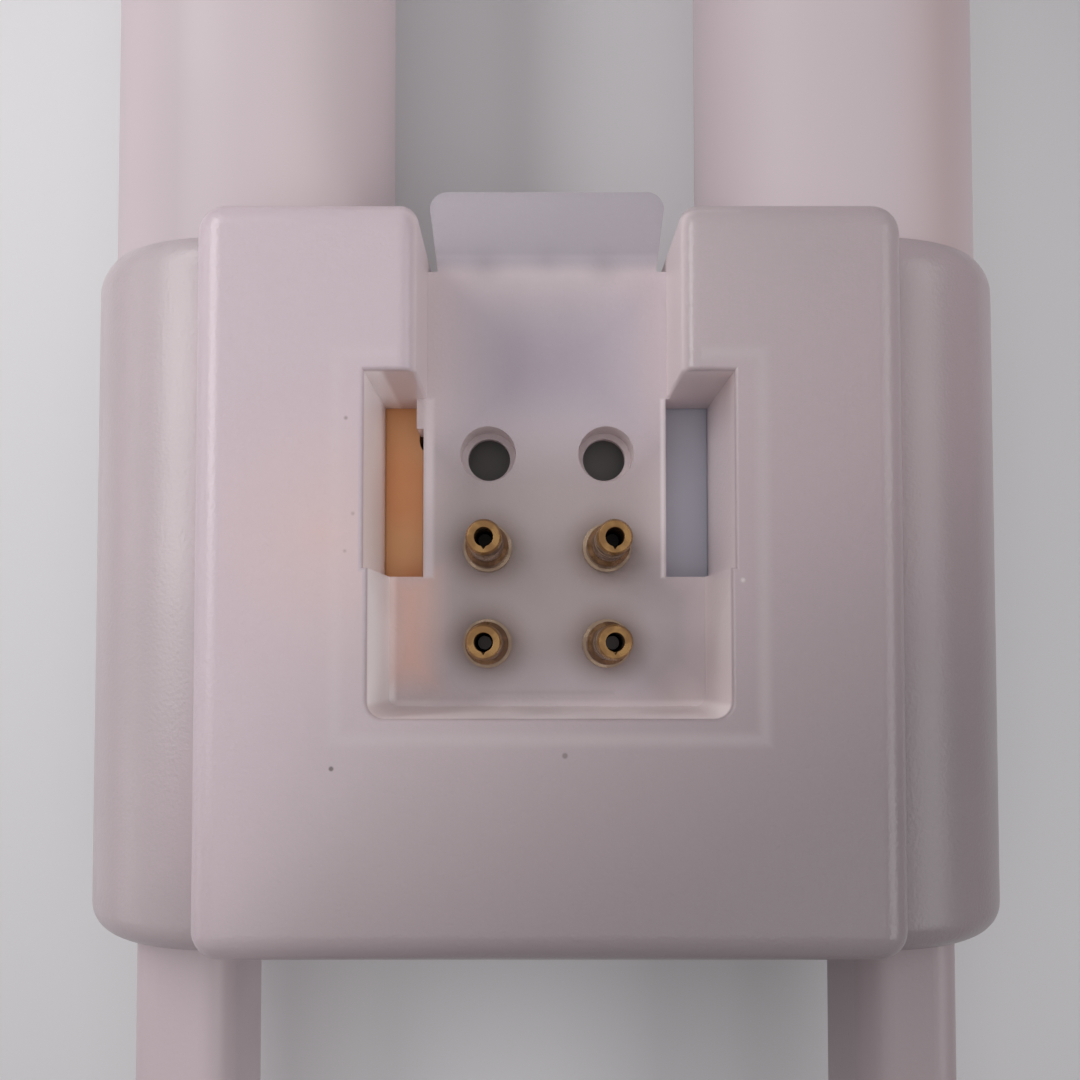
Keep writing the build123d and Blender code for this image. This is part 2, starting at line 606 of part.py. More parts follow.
for number, (x, y) in enumerate(PIN_PLACES, start=1):
    with BuildPart() as contact_pin:
        with BuildSketch(Plane(origin=(x, y, 0), x_dir=(1, 0, 0), z_dir=(0, -1, 0))):
            with BuildLine():
                Polyline(*pin_outline, close=True)
            make_face()
        revolve(axis=Axis((x, y, 0), (0, 0, 1)))
        with BuildSketch(Plane.XY.offset(pin_tip_z)):
            with BuildLine():
                Polyline((x - PIN_NICK_HALF, y), (x + PIN_NICK_HALF, y), (x, y - PIN_NICK_R), close=True)
            make_face()
        extrude(amount=-PIN_NICK_DEPTH, mode=Mode.SUBTRACT)
    write(contact_pin.part, f"contact_pin_{number}")
    with BuildPart() as pin_lead:
        with BuildSketch(Plane(origin=(x, y, BOARD_TOP_Z))):
            Circle(PIN_LEAD_R)
        extrude(amount=pin_tip_z - PIN_LEAD_BELOW_TIP - BOARD_TOP_Z)
    write(pin_lead.part, f"pin_lead_{number}")

# Driver board, with a narrow tail between the tubes
with BuildPart() as driver_board:
    with BuildSketch(Plane.XY.offset(BOARD_UNDER_Z)):
        with Locations((0, BOARD_LOW_Y)):
            Rectangle(2 * BOARD_HALF_X, BOARD_TOP_Y - BOARD_LOW_Y, align=(Align.CENTER, Align.MIN))
        with Locations((0, BOARD_TOP_Y)):
            Rectangle(2 * BOARD_TAIL_HALF_X, BOARD_TAIL_Y - BOARD_TOP_Y, align=(Align.CENTER, Align.MIN))
        for x in (-BOARD_POST_X, BOARD_POST_X):
            with Locations((x, BOARD_POST_LOW_Y), (x, BOARD_POST_TOP_Y)):
                Circle(BOARD_PEG_R + SEAT_GAP, mode=Mode.SUBTRACT)
    extrude(amount=BOARD_THICK)
write(driver_board.part, "driver_board")

# The two tall parts that show in the side slots and reach under the pocket's walls
tall_length = POCKET_TOP_Y + TALL_PART_UNDER_WALL - TALL_PART_LOW_Y
tall_height = UNDER_FLOOR_Z - PART_GAP - BOARD_TOP_Z
with BuildPart() as film_capacitor:
    with BuildSketch(Plane.XY.offset(BOARD_TOP_Z)):
        with Locations((-TALL_PART_OUTER_X, TALL_PART_LOW_Y)):
            Rectangle(TALL_PART_OUTER_X - FILM_CAP_INNER_X, tall_length, align=(Align.MIN, Align.MIN))
    extrude(amount=tall_height)
    fillet(film_capacitor.edges().filter_by(Axis.Z).group_by(Axis.Y)[0], FILM_CAP_ROUND)
    fillet(film_capacitor.edges().group_by(Axis.Z)[-1], FILM_CAP_TOP_ROUND)
    with BuildSketch(Plane.XY.offset(BOARD_TOP_Z)):
        with Locations((-FILM_CAP_INNER_X, FILM_CAP_GROOVE_Y)):
            Ellipse(FILM_CAP_GROOVE_HALF_WIDTH, FILM_CAP_GROOVE_HALF_LENGTH)
    extrude(amount=tall_height, mode=Mode.SUBTRACT)
write(film_capacitor.part, "film_capacitor")

with BuildPart() as box_capacitor:
    with BuildSketch(Plane.XY.offset(BOARD_TOP_Z)):
        with Locations((TALL_PART_OUTER_X, TALL_PART_LOW_Y)):
            Rectangle(TALL_PART_OUTER_X - BOX_CAP_INNER_X, tall_length, align=(Align.MAX, Align.MIN))
    extrude(amount=tall_height)
    fillet(box_capacitor.edges().filter_by(Axis.Z), BOX_CAP_ROUND)
    fillet(box_capacitor.edges().group_by(Axis.Z)[-1], BOX_CAP_ROUND)
write(box_capacitor.part, "box_capacitor")

# Two storage capacitors: cans with a rolled groove, lying on the board
for side, name in ((-1, "storage_capacitor_left"), (1, "storage_capacitor_right")):
    with BuildPart() as can:
        with BuildSketch(Plane(origin=(side * CAN_X, CAN_Y, BOARD_TOP_Z + CAN_R), z_dir=(1, 0, 0))):
            Circle(CAN_R)
        extrude(amount=CAN_LENGTH / 2, both=True)
        fillet(can.edges(), CAN_ROUND)
        groove_x = side * (CAN_X + CAN_LENGTH / 2 - CAN_GROOVE_IN)
        with BuildSketch(Plane(origin=(groove_x, CAN_Y, BOARD_TOP_Z + CAN_R), z_dir=(1, 0, 0))):
            Circle(CAN_R)
            Circle(CAN_R - CAN_GROOVE, mode=Mode.SUBTRACT)
        extrude(amount=CAN_GROOVE, both=True, mode=Mode.SUBTRACT)
    write(can.part, name)

# Transformer: a ferrite frame with a round leg, and the winding on that leg
core_window = CORE_HEIGHT - 2 * CORE_PLATE
with BuildPart() as transformer_core:
    with BuildSketch(Plane.XY.offset(BOARD_TOP_Z)):
        with Locations((0, CORE_CENTRE_Y)):
            Rectangle(CORE_WIDTH, CORE_LENGTH)
    extrude(amount=CORE_HEIGHT)
    with BuildSketch(Plane.XY.offset(BOARD_TOP_Z + CORE_PLATE)):
        with Locations((0, CORE_CENTRE_Y)):
            Rectangle(2 * (CORE_COIL_R + PART_GAP), CORE_LENGTH)
            Circle(CORE_LEG_R, mode=Mode.SUBTRACT)
    extrude(amount=core_window, mode=Mode.SUBTRACT)
write(transformer_core.part, "transformer_core")

with BuildPart() as transformer_winding:
    with BuildSketch(Plane.XY.offset(BOARD_TOP_Z + CORE_PLATE)):
        with Locations((0, CORE_CENTRE_Y)):
            Circle(CORE_COIL_R)
            Circle(CORE_LEG_R, mode=Mode.SUBTRACT)
    extrude(amount=core_window)
write(transformer_winding.part, "transformer_winding")

# Flat parts on the board
for name, size, y, bevel in (
    ("driver_chip", CHIP_SIZE, CHIP_Y, CHIP_CHAMFER),
    ("bridge_rectifier", BRIDGE_SIZE, BRIDGE_Y, BRIDGE_CHAMFER),
):
    with BuildPart() as flat_part:
        with Locations((0, y, BOARD_TOP_Z)):
            Box(*size, align=(Align.CENTER, Align.CENTER, Align.MIN))
        chamfer(flat_part.edges().group_by(Axis.Z)[-1], bevel)
    write(flat_part.part, name)

# Axial resistors, whose leads bend down to the board
for side, name in ((-1, "surge_resistor"), (1, "fuse_resistor")):
    resistor_z = BOARD_TOP_Z + RESISTOR_R
    foot_y = RESISTOR_LENGTH / 2 + LEAD_REACH
    with BuildPart() as resistor:
        with BuildSketch(Plane(origin=(side * RESISTOR_X, RESISTOR_Y, resistor_z), z_dir=(0, 1, 0))):
            Circle(RESISTOR_R)
        extrude(amount=RESISTOR_LENGTH / 2, both=True)
        fillet(resistor.edges(), RESISTOR_ROUND)
        with BuildLine() as lead_line:
            FilletPolyline(
                (side * RESISTOR_X, RESISTOR_Y - foot_y, BOARD_TOP_Z),
                (side * RESISTOR_X, RESISTOR_Y - foot_y, resistor_z),
                (side * RESISTOR_X, RESISTOR_Y + foot_y, resistor_z),
                (side * RESISTOR_X, RESISTOR_Y + foot_y, BOARD_TOP_Z),
                radius=LEAD_BEND_R,
            )
        with BuildSketch(Plane(origin=lead_line.line @ 0, z_dir=(0, 0, 1))):
            Circle(LEAD_R)
        sweep(path=lead_line.line)
    write(resistor.part, name)

# Feed leads from the driver board up to the left light board
with BuildPart() as left_feed_leads:
    for y in FEED_Y:
        with BuildLine() as feed_line:
            FilletPolyline(
                (-FEED_X, y, BOARD_TOP_Z),
                (-FEED_X, y, BOARD_TOP_Z + FEED_RISE),
                (-FEED_X - FEED_REACH, y, BOARD_TOP_Z + FEED_RISE),
                (-FEED_X - FEED_REACH, y, STRIP_UNDER_Z),
                radius=FEED_BEND_R,
            )
        with BuildSketch(Plane(origin=feed_line.line @ 0, z_dir=(0, 0, 1))):
            Circle(FEED_R)
        sweep(path=feed_line.line)
write(left_feed_leads.part, "left_feed_leads")

# The right side mirrors the left
for left in (
    left_tube_rear,
    left_tube_front,
    left_light_board,
    left_emitters,
    left_strut,
    left_boot,
    left_feed_leads,
):
    with BuildPart() as right:
        mirror(left.part, about=Plane.YZ)
    write(right.part, left.part.label.replace("left", "right"))
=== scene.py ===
import logging
import math
from dataclasses import dataclass, field, replace
from enum import Enum

import bmesh
import bpy
from mathutils import Matrix, Vector


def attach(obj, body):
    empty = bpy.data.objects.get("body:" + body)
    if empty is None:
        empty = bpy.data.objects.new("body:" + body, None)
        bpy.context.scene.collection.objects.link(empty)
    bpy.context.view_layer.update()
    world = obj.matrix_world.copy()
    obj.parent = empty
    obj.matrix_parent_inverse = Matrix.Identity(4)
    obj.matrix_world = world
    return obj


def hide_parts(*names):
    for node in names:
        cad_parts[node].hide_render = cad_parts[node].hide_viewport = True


# A double-D lamp with a four-pin cap, lying on its light side with its pins up.
# Lengths are in millimetres in the classes and become metres in the meshes.
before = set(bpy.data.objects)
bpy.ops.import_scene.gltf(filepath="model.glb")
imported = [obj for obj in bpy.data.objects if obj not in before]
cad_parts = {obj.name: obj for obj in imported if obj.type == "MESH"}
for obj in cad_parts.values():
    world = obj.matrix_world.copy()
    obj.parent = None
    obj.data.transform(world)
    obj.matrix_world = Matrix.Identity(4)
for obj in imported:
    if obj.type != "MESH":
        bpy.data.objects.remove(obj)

LOG = logging.getLogger("lamp")
MM = 0.001

# How copied meshes are cleaned, and how level faces are told apart
MERGE_DISTANCE = 0.002
FLAT_DEGREES = 0.3
UPRIGHT = 0.999
SAME_HEIGHT = 0.05

# Which edges stay sharp, and how the sharp ones are rounded
SHARP_DEGREES = 35.0
ROUNDED_DEGREES = 40.0
ROUNDED_SEGMENTS = 2

# The photograph's width and height
PHOTO_PIXELS = 1080

# Heights above the table, and the pins' places
ABOVE_FACE_Z = 30.3
FACE_Z = 29.3
BELOW_FACE_Z = 28.8
BLOCK_FOOT_Z = 22.8
FLOOR_Z = 21.2
AIM_Z = 20.0
UNDER_FLOOR_Z = 18.2
PIN_RISE = 7.7
PIN_PLACES = ((-3.96, 2.745), (3.96, 2.745), (-3.96, -3.605), (3.96, -3.605))

Colour = tuple[float, float, float, float]
Place = tuple[float, float]


class Side(Enum):
    """Which half of the lamp a piece belongs to, as seen from the pins."""

    LEFT = -1
    RIGHT = 1

    @property
    def word(self) -> str:
        """The side's word in the nodes' names."""
        return self.name.lower()


class Region(Enum):
    """A region of the cap's surface with painted light, shade and marks of its own."""

    REST = 0
    FACE = 1
    FLOOR = 2

    @property
    def word(self) -> str:
        """The region's word in its material's name."""
        return self.name.lower()

    @classmethod
    def of(cls, face: bpy.types.MeshPolygon) -> "Region":
        """Finds a face's region from its height, where it looks up.

        Args:
            face: The face.

        Returns:
            Its region.
        """
        if face.normal.z < UPRIGHT:
            return cls.REST
        heights = {cls.FACE: FACE_Z, cls.FLOOR: FLOOR_Z}
        away = {region: abs(face.center.z - z * MM) for region, z in heights.items()}
        return next((region for region in away if away[region] < SAME_HEIGHT * MM), cls.REST)


def screen(red: int, green: int, blue: int) -> Colour:
    """Turns a colour as it looks on screen into the values that a shader takes.

    Args:
        red: Red from 0 to 255.
        green: Green from 0 to 255.
        blue: Blue from 0 to 255.

    Returns:
        The linear colour, with an alpha of one.
    """
    parts = [value / 255 for value in (red, green, blue)]
    linear = [v / 12.92 if v <= 0.04045 else ((v + 0.055) / 1.055) ** 2.4 for v in parts]
    return (linear[0], linear[1], linear[2], 1.0)


# Shader trees


class Tree:
    """A node tree with short ways to add, link and calculate."""

    def __init__(self, tree: bpy.types.NodeTree) -> None:
        """Keeps the tree.

        Args:
            tree: The node tree to fill.
        """
        self.tree = tree

    def add(self, kind: str, **settings: object) -> bpy.types.Node:
        """Adds a node.

        Args:
            kind: The node's type name.
            settings: Properties of the node to set.

        Returns:
            The new node.
        """
        node = self.tree.nodes.new(kind)
        for name, value in settings.items():
            setattr(node, name, value)
        return node

    def put(self, value: object, socket: bpy.types.NodeSocket) -> None:
        """Feeds a socket with a link where value is a socket, and with a fixed value otherwise.

        Args:
            value: The socket or the fixed value.
            socket: The socket to feed.
        """
        if isinstance(value, bpy.types.NodeSocket):
            self.tree.links.new(value, socket)
        else:
            socket.default_value = value

    def calc(self, operation: str, *values: object) -> bpy.types.NodeSocket:
        """Adds a Math node.

        Args:
            operation: The Math node's operation.
            values: What goes into its sockets, in order.

        Returns:
            The result's socket.
        """
        node = self.add("ShaderNodeMath", operation=operation)
        for socket, value in zip(node.inputs, values):
            self.put(value, socket)
        return node.outputs[0]

    def vector(self, operation: str, *values: object) -> bpy.types.NodeSocket:
        """Adds a Vector Math node whose result is a vector.

        Args:
            operation: The Vector Math node's operation.
            values: What goes into its sockets, in order.

        Returns:
            The result's socket.
        """
        node = self.add("ShaderNodeVectorMath", operation=operation)
        for socket, value in zip(node.inputs, values):
            self.put(value, socket)
        return node.outputs["Vector"]

    def length(self, vector: bpy.types.NodeSocket) -> bpy.types.NodeSocket:
        """A vector's length.

        Args:
            vector: The vector's socket.

        Returns:
            The length's socket.
        """
        node = self.add("ShaderNodeVectorMath", operation="LENGTH")
        self.put(vector, node.inputs[0])
        return node.outputs["Value"]

    def ramp(
        self, value: object, start: object, end: object, low: float = 0.0, high: object = 1.0
    ) -> bpy.types.NodeSocket:
        """Maps a value smoothly from one range to another.

        Args:
            value: The socket to map.
            start: Where the result is low.
            end: Where the result is high.
            low: The lowest result.
            high: The highest result.

        Returns:
            The result's socket.
        """
        node = self.add("ShaderNodeMapRange", interpolation_type="SMOOTHSTEP")
        names = ("Value", "From Min", "From Max", "To Min", "To Max")
        for name, item in zip(names, (value, start, end, low, high)):
            self.put(item, node.inputs[name])
        return node.outputs["Result"]

    def inside(self, over: object, soft: object, strength: object = 1.0) -> bpy.types.NodeSocket:
        """The full strength where a distance is well below zero, and none well above it.

        Args:
            over: The distance's socket.
            soft: How far the change reaches each way.
            strength: The mask's highest value.

        Returns:
            The mask's socket.
        """
        return self.ramp(over, soft, self.calc("MULTIPLY", soft, -1.0), 0.0, strength)

    def split(self, vector: bpy.types.NodeSocket) -> tuple[bpy.types.NodeSocket, ...]:
        """The three parts of a vector.

        Args:
            vector: The vector's socket.

        Returns:
            The sockets of X, Y and Z.
        """
        node = self.add("ShaderNodeSeparateXYZ")
        self.put(vector, node.inputs[0])
        return tuple(node.outputs)

    def noise(self, vector: object, scale: object, detail: float = 2.0) -> bpy.types.NodeSocket:
        """Adds a noise texture.

        Args:
            vector: Where to read it.
            scale: Its features per metre.
            detail: Its octaves.

        Returns:
            The noise value's socket.
        """
        node = self.add("ShaderNodeTexNoise")
        self.put(vector, node.inputs["Vector"])
        self.put(scale, node.inputs["Scale"])
        node.inputs["Detail"].default_value = detail
        return node.outputs["Fac"]


class Effect(Tree):
    """A shared effect: a shader node group with named inputs and outputs."""

    def __init__(self, name: str, inputs: dict[str, object], outputs: tuple[str, ...]) -> None:
        """Makes the group with its sockets.

        Args:
            name: The group's name.
            inputs: Each number or vector that goes in, with its usual value.
            outputs: The names of the values that come out.
        """
        self.group = bpy.data.node_groups.new(name, "ShaderNodeTree")
        super().__init__(self.group)
        face = self.group.interface
        face.new_socket(name="Place", in_out="INPUT", socket_type="NodeSocketVector")
        for title, value in inputs.items():
            kind = "NodeSocketVector" if isinstance(value, tuple) else "NodeSocketFloat"
            socket = face.new_socket(name=title, in_out="INPUT", socket_type=kind)
            socket.default_value = value
        for title in outputs:
            face.new_socket(name=title, in_out="OUTPUT", socket_type="NodeSocketFloat")
        self.given = self.add("NodeGroupInput").outputs
        self.wanted = self.add("NodeGroupOutput").inputs

    def away(self) -> bpy.types.NodeSocket:
        """The way from the group's centre to the place.

        Returns:
            The vector's socket.
        """
        return self.vector("SUBTRACT", self.given["Place"], self.given["Centre"])


def clouds_effect() -> Effect:
    """Soft clouds that vary a surface's tone.

    Returns:
        The finished group.
    """
    effect = Effect("soft clouds", {"Per Metre": 60.0, "Low": 0.35, "High": 0.65}, ("Mask",))
    value = effect.noise(effect.given["Place"], effect.given["Per Metre"])
    effect.put(effect.ramp(value, effect.given["Low"], effect.given["High"]), effect.wanted["Mask"])
    return effect


def pebble_effect() -> Effect:
    """The fine uneven skin of a moulding, which breaks up its gloss.

    Returns:
        The finished group.
    """
    effect = Effect("pebbled skin", {"Per Metre": 1500.0}, ("Height",))
    pebbles = effect.noise(effect.given["Place"], effect.given["Per Metre"], 1.0)
    effect.put(pebbles, effect.wanted["Height"])
    return effect


def plate_effect() -> Effect:
    """A rectangle seen along Z: its inside and its outline.

    Returns:
        The finished group.
    """
    inputs = {"Centre": (0.0, 0.0, 0.0), "Half": (0.01, 0.01, 0.0), "Soft": 0.0004, "Line": 0.0006}
    effect = Effect("plate", inputs | {"Strength": 1.0}, ("Inside", "Outline"))
    strength = effect.given["Strength"]
    beyond = effect.vector("SUBTRACT", effect.vector("ABSOLUTE", effect.away()), effect.given["Half"])
    x, y, _ = effect.split(beyond)
    over = effect.calc("MAXIMUM", x, y)
    effect.put(effect.inside(over, effect.given["Soft"], strength), effect.wanted["Inside"])
    outline = effect.ramp(effect.calc("ABSOLUTE", over), effect.given["Line"], 0.0, 0.0, strength)
    effect.put(outline, effect.wanted["Outline"])
    return effect


def spot_effect() -> Effect:
    """A round spot seen along Z.

    Returns:
        The finished group.
    """
    inputs = {"Centre": (0.0, 0.0, 0.0), "Radius": 0.002, "Soft": 0.0005, "Strength": 1.0}
    effect = Effect("round spot", inputs, ("Inside",))
    flat = effect.vector("MULTIPLY", effect.away(), (1.0, 1.0, 0.0))
    over = effect.calc("SUBTRACT", effect.length(flat), effect.given["Radius"])
    mask = effect.inside(over, effect.given["Soft"], effect.given["Strength"])
    effect.put(mask, effect.wanted["Inside"])
    return effect


def layer_effect() -> Effect:
    """A layer between two heights.

    Returns:
        The finished group.
    """
    effect = Effect("layer", {"From": 0.0, "To": 0.01, "Soft": 0.0003}, ("Inside",))
    height = effect.split(effect.given["Place"])[2]
    below = effect.inside(effect.calc("SUBTRACT", effect.given["From"], height), effect.given["Soft"])
    above = effect.inside(effect.calc("SUBTRACT", height, effect.given["To"]), effect.given["Soft"])
    effect.put(effect.calc("MULTIPLY", below, above), effect.wanted["Inside"])
    return effect


def slope_effect() -> Effect:
    """A value that rises smoothly along a direction on the ground plane.

    Returns:
        The finished group.
    """
    inputs = {"Way X": 1.0, "Way Y": 0.0, "Start": 0.0, "End": 0.05}
    effect = Effect("slope", inputs, ("Mask",))
    x, y, _ = effect.split(effect.given["Place"])
    across = effect.calc("MULTIPLY", x, effect.given["Way X"])
    way = effect.calc("MULTIPLY_ADD", y, effect.given["Way Y"], across)
    effect.put(effect.ramp(way, effect.given["Start"], effect.given["End"]), effect.wanted["Mask"])
    return effect


@dataclass(frozen=True)
class Effects:
    """The shared effects, each built once."""

    clouds: Effect = field(default_factory=clouds_effect)
    pebbles: Effect = field(default_factory=pebble_effect)
    plate: Effect = field(default_factory=plate_effect)
    spot: Effect = field(default_factory=spot_effect)
    layer: Effect = field(default_factory=layer_effect)
    slope: Effect = field(default_factory=slope_effect)


EFFECTS = Effects()


class Paint(Tree):
    """One material: a Principled shader, what feeds it, and the tone that is laid so far."""

    # The Mix node's colour sockets, by their place among its sockets of every type
    MIX_UNDER = 6
    MIX_OVER = 7
    MIX_RESULT = 2

    def __init__(self, name: str, tone: Colour) -> None:
        """Makes the material.

        Args:
            name: The material's name.
            tone: Its colour before anything is laid over it.
        """
        self.material = bpy.data.materials.new(name)
        self.material.use_nodes = True
        super().__init__(self.material.node_tree)
        self.shader = self.tree.nodes["Principled BSDF"]
        self.place = self.add("ShaderNodeTexCoord").outputs["Object"]
        self.tone: object = tone

    def use(self, effect: Effect, output: str, **inputs: object) -> bpy.types.NodeSocket:
        """Places a shared effect.

        Args:
            effect: The effect.
            output: Which of its values is wanted.
            inputs: Its numbers and vectors, with underscores for spaces.

        Returns:
            The wanted value's socket.
        """
        node = self.add("ShaderNodeGroup", node_tree=effect.group)
        self.put(self.place, node.inputs["Place"])
        for name, value in inputs.items():
            node.inputs[name.replace("_", " ")].default_value = value
        return node.outputs[output]

    def layer(self, low: float, high: float, soft: float = 0.3) -> bpy.types.NodeSocket:
        """Where the surface is between two heights, in millimetres.

        Args:
            low: The lower height.
            high: The upper height.
            soft: How soft its ends are.

        Returns:
            The mask's socket.
        """
        return self.use(EFFECTS.layer, "Inside", From=low * MM, To=high * MM, Soft=soft * MM)

    def both(self, *masks: object) -> bpy.types.NodeSocket:
        """Where all the masks are.

        Args:
            masks: The masks to multiply.

        Returns:
            The joint mask's socket.
        """
        result = masks[0]
        for mask in masks[1:]:
            result = self.calc("MULTIPLY", result, mask)
        return result

    def lay(self, mask: object, over: Colour, strength: float = 1.0) -> None:
        """Lays a colour over the tone so far.

        Args:
            mask: Where the new colour shows.
            over: The new colour.
            strength: How much of it shows at most.
        """
        node = self.add("ShaderNodeMix", data_type="RGBA")
        if strength != 1.0:
            mask = self.calc("MULTIPLY", mask, strength)
        self.put(mask, node.inputs["Factor"])
        self.put(self.tone, node.inputs[self.MIX_UNDER])
        self.put(over, node.inputs[self.MIX_OVER])
        self.tone = node.outputs[self.MIX_RESULT]

    def bump(self, per_metre: float, strength: float, depth: float) -> None:
        """Gives the surface a pebbled skin.

        Args:
            per_metre: The skin's features per metre.
            strength: The bump's strength.
            depth: The bump's depth in millimetres.
        """
        node = self.add("ShaderNodeBump")
        node.inputs["Strength"].default_value = strength
        node.inputs["Distance"].default_value = depth * MM
        self.put(self.use(EFFECTS.pebbles, "Height", Per_Metre=per_metre), node.inputs["Height"])
        self.put(node.outputs["Normal"], self.shader.inputs["Normal"])

    def set(self, **values: object) -> None:
        """Sets or feeds the shader's sockets.

        Args:
            values: The sockets' values, named with underscores for spaces.
        """
        for name, value in values.items():
            self.put(value, self.shader.inputs[name.replace("_", " ")])

    def done(self) -> bpy.types.Material:
        """Gives the shader its tone.

        Returns:
            The finished material.
        """
        self.set(Base_Color=self.tone)
        return self.material


# Marks, and painted light and shade


def flat_place(place: Place) -> tuple[float, float, float]:
    """Turns a place on the ground plane into a vector in metres.

    Args:
        place: The place in millimetres.

    Returns:
        The vector.
    """
    return (place[0] * MM, place[1] * MM, 0.0)


@dataclass(frozen=True)
class Patch:
    """A soft rectangular tint seen along Z, or only its outline where it has a line."""

    centre: Place
    half: Place
    soft: float
    tone: Colour
    strength: float
    line: float = 0.0

    def lay(self, paint: Paint, where: object = 1.0) -> None:
        """Lays the tint.

        Args:
            paint: The paint to lay it on.
            where: Where it may show.
        """
        mask = paint.use(
            EFFECTS.plate,
            "Outline" if self.line else "Inside",
            Centre=flat_place(self.centre),
            Half=flat_place(self.half),
            Soft=self.soft * MM,
            Line=self.line * MM,
            Strength=self.strength,
        )
        paint.lay(paint.both(mask, where), self.tone)


@dataclass(frozen=True)
class Spot:
    """A soft round tint seen along Z."""

    centre: Place
    radius: float
    soft: float
    tone: Colour
    strength: float

    def lay(self, paint: Paint, where: object = 1.0) -> None:
        """Lays the tint.

        Args:
            paint: The paint to lay it on.
            where: Where it may show.
        """
        mask = paint.use(
            EFFECTS.spot,
            "Inside",
            Centre=flat_place(self.centre),
            Radius=self.radius * MM,
            Soft=self.soft * MM,
            Strength=self.strength,
        )
        paint.lay(paint.both(mask, where), self.tone)


@dataclass(frozen=True)
class Fade:
    """Painted light or painted shade: a tint that grows along a direction on the ground plane."""

    way: Place
    start: float
    end: float
    tone: Colour
    strength: float = 1.0

    def lay(self, paint: Paint, where: object = 1.0) -> None:
        """Lays the tint.

        Args:
            paint: The paint to lay it on.
            where: Where it may show.
        """
        mask = paint.use(
            EFFECTS.slope,
            "Mask",
            Way_X=self.way[0],
            Way_Y=self.way[1],
            Start=self.start * MM,
            End=self.end * MM,
        )
        paint.lay(paint.both(mask, where), self.tone, self.strength)


@dataclass(frozen=True)
class Band:
    """A soft tint between two heights."""

    low: float
    high: float
    soft: float
    tone: Colour
    strength: float

    def lay(self, paint: Paint, where: object = 1.0) -> None:
        """Lays the tint.

        Args:
            paint: The paint to lay it on.
            where: Where it may show.
        """
        mask = paint.layer(self.low, self.high, self.soft)
        paint.lay(paint.both(mask, where), self.tone, self.strength)


Mark = Patch | Spot | Fade | Band


def lay_marks(marks: tuple[Mark, ...], paint: Paint, where: object = 1.0) -> None:
    """Lays marks one over another.

    Args:
        marks: The marks, from the lowest to the topmost.
        paint: The paint to lay them on.
        where: Where they may show.
    """
    for mark in marks:
        mark.lay(paint, where)


# Finishes


@dataclass(frozen=True)
class PlainFinish:
    """A moulded or lacquered surface with soft clouds of tone and a fine skin."""

    name: str
    light: Colour
    dark: Colour
    roughness: float = 0.45
    clouds_per_metre: float = 120.0
    skin_per_metre: float = 1800.0
    skin_strength: float = 0.15
    metallic: float = 0.0
    rougher_clouds: float = 0.08
    skin_depth: float = 0.05

    def material(self) -> bpy.types.Material:
        """Builds the material.

        Returns:
            The finished material.
        """
        paint = Paint(self.name, self.light)
        clouds = paint.use(EFFECTS.clouds, "Mask", Per_Metre=self.clouds_per_metre)
        paint.lay(clouds, self.dark)
        low, high = self.roughness, self.roughness + self.rougher_clouds
        paint.set(Roughness=paint.ramp(clouds, 0.0, 1.0, low, high), Metallic=self.metallic)
        paint.bump(self.skin_per_metre, self.skin_strength, self.skin_depth)
        return paint.done()


@dataclass(frozen=True)
class MilkyFinish:
    """A translucent milky moulding whose light spreads under its skin."""

    name: str
    light: Colour
    dark: Colour
    roughness: float = 0.36
    spread: float = 0.0
    depth: float = 3.0
    reach: tuple[float, float, float] = (1.0, 0.86, 0.84)
    ior: float = 1.5
    clouds_per_metre: float = 45.0
    smoother_clear: float = 0.02
    rougher_clouds: float = 0.04
    skin_per_metre: float = 2400.0
    skin_strength: float = 0.3
    skin_depth: float = 0.06

    def paint(self) -> Paint:
        """Builds the shader with its skin and its spread of light.

        Returns:
            The paint, ready for further marks.
        """
        paint = Paint(self.name, self.light)
        clouds = paint.use(EFFECTS.clouds, "Mask", Per_Metre=self.clouds_per_metre)
        paint.lay(clouds, self.dark)
        low, high = self.roughness - self.smoother_clear, self.roughness + self.rougher_clouds
        paint.set(Roughness=paint.ramp(clouds, 0.0, 1.0, low, high), IOR=self.ior)
        paint.set(Subsurface_Weight=self.spread, Subsurface_Scale=self.depth * MM)
        paint.set(Subsurface_Radius=self.reach)
        paint.shader.subsurface_method = "BURLEY"
        paint.bump(self.skin_per_metre, self.skin_strength, self.skin_depth)
        return paint

    def material(self) -> bpy.types.Material:
        """Builds the material without further marks.

        Returns:
            The finished material.
        """
        return self.paint().done()


# Meshes


def assign(obj: bpy.types.Object, material: bpy.types.Material) -> None:
    """Gives an object one material.

    Args:
        obj: The object.
        material: The material.
    """
    obj.data.materials.clear()
    obj.data.materials.append(material)


def dress_node(node: str, material: bpy.types.Material) -> None:
    """Puts a material on a node's own mesh, through its object's slot.

    Args:
        node: The node's name.
        material: The material.
    """
    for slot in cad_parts[node].material_slots:
        slot.link = "OBJECT"
        slot.material = material


def merged_copy(node: str) -> bmesh.types.BMesh:
    """Copies a node's mesh, with its doubles merged and its flat faces joined.

    Args:
        node: The node's name.

    Returns:
        The mesh to work on.
    """
    bm = bmesh.new()
    bm.from_mesh(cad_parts[node].data)
    bmesh.ops.remove_doubles(bm, verts=bm.verts, dist=MERGE_DISTANCE * MM)
    bmesh.ops.dissolve_limit(
        bm,
        angle_limit=math.radians(FLAT_DEGREES),
        use_dissolve_boundaries=False,
        verts=bm.verts,
        edges=bm.edges,
    )
    bmesh.ops.recalc_face_normals(bm, faces=bm.faces)
    return bm


